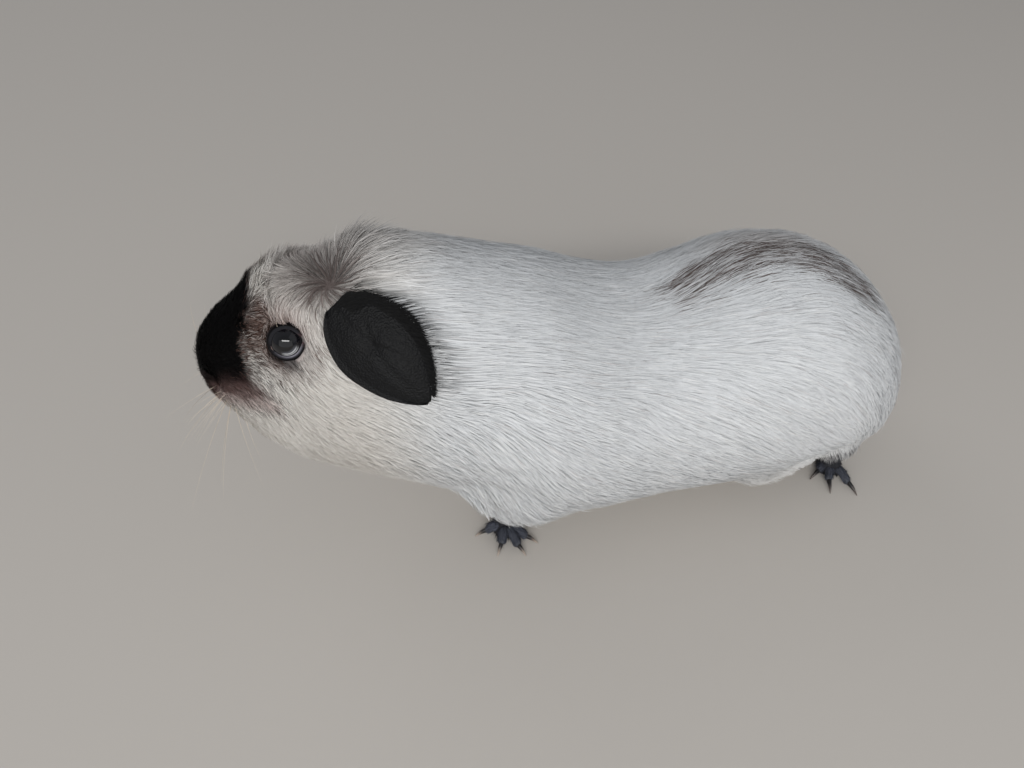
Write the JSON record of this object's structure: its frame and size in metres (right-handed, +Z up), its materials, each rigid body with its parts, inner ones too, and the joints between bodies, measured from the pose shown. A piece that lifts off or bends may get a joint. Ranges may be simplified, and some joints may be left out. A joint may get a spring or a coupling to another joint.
{
  "type": "guinea pig",
  "caption": "Life-size still guinea pig standing with its head raised: smooth white coat with a whorl on the crown, black muzzle, drooping black ears, dark splayed feet with claws.",
  "frame": {"origin": "on the floor under the middle of the animal's bounding box", "axes": "+Z up from the floor the animal stands on; the nose points towards -X and the rump towards +X; the animal's left side faces -Y"},
  "size_m": [0.2584, 0.1031, 0.1363],
  "materials": {
    "coat_white": "short smooth white fur",
    "coat_black": "short black fur",
    "ear_skin": "thin bare black skin",
    "foot_skin": "slate black creased skin with sparse hair",
    "eye": "wet glossy dark eye",
    "claw": "semi-translucent pale horn"
  },
  "bodies": {
    "root": {"belly": "coat_white", "chest": "coat_white", "claw_forefoot_left_1": "claw", "claw_forefoot_left_2": "claw", "claw_forefoot_left_3": "claw", "claw_forefoot_left_4": "claw", "claw_forefoot_right_1": "claw", "claw_forefoot_right_2": "claw", "claw_forefoot_right_3": "claw", "claw_forefoot_right_4": "claw", "claw_hindfoot_left_1": "claw", "claw_hindfoot_left_2": "claw", "claw_hindfoot_left_3": "claw", "claw_hindfoot_right_1": "claw", "claw_hindfoot_right_2": "claw", "claw_hindfoot_right_3": "claw", "ear_left": "ear_skin", "ear_right": "ear_skin", "eye_left": "eye", "eye_right": "eye", "forefoot_left": "foot_skin", "forefoot_right": "foot_skin", "foreleg_left": "coat_white", "foreleg_right": "coat_white", "head": "coat_white", "hindfoot_left": "foot_skin", "hindfoot_right": "foot_skin", "hindleg_left": "coat_white", "hindleg_right": "coat_white", "muzzle": "coat_black", "neck": "coat_white", "rump": "coat_white"}
  },
  "joints": []
}
